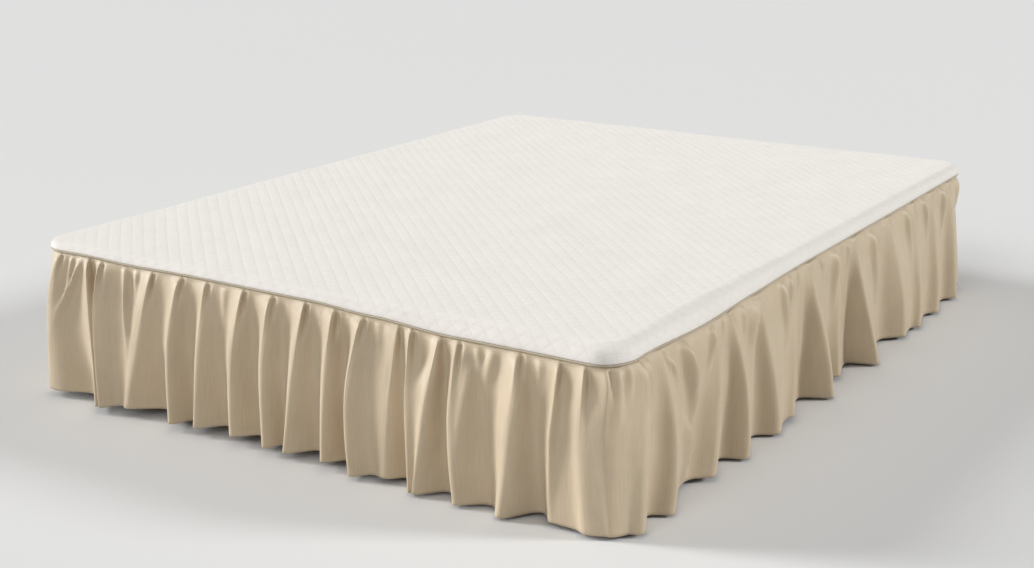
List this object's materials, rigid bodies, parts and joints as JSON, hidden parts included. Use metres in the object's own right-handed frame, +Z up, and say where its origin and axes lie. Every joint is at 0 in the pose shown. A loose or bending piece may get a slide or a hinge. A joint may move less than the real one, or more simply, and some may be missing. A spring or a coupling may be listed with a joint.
{
  "type": "quilted mattress protector with gathered skirt on a plain mattress and bed base",
  "caption": "Cream quilted mattress cover with a gathered beige skirt to the floor, fitted over a plain mattress and bed base to keep the mattress clean.",
  "frame": {"origin": "on the floor under the middle of the bed, at the bottom centre of the base", "axes": "+Z up, +Y towards the head end, +X to the right side seen from the foot"},
  "size_m": [1.6266, 2.1008, 0.3771],
  "materials": {
    "panel_cotton": "brushed quilted cotton with small stitched diamonds, matt",
    "seam_cord": "plain woven cotton over a thin cord, matt",
    "skirt_cotton": "fine brushed cotton with a faint soft sheen on its folds",
    "mattress_ticking": "plain woven ticking, matt",
    "base_wood": "plain sealed board, satin"
  },
  "bodies": {
    "root": {"top_panel": "panel_cotton", "piping": "seam_cord", "skirt": "skirt_cotton", "mattress": "mattress_ticking", "bed_base": "base_wood"}
  },
  "joints": []
}
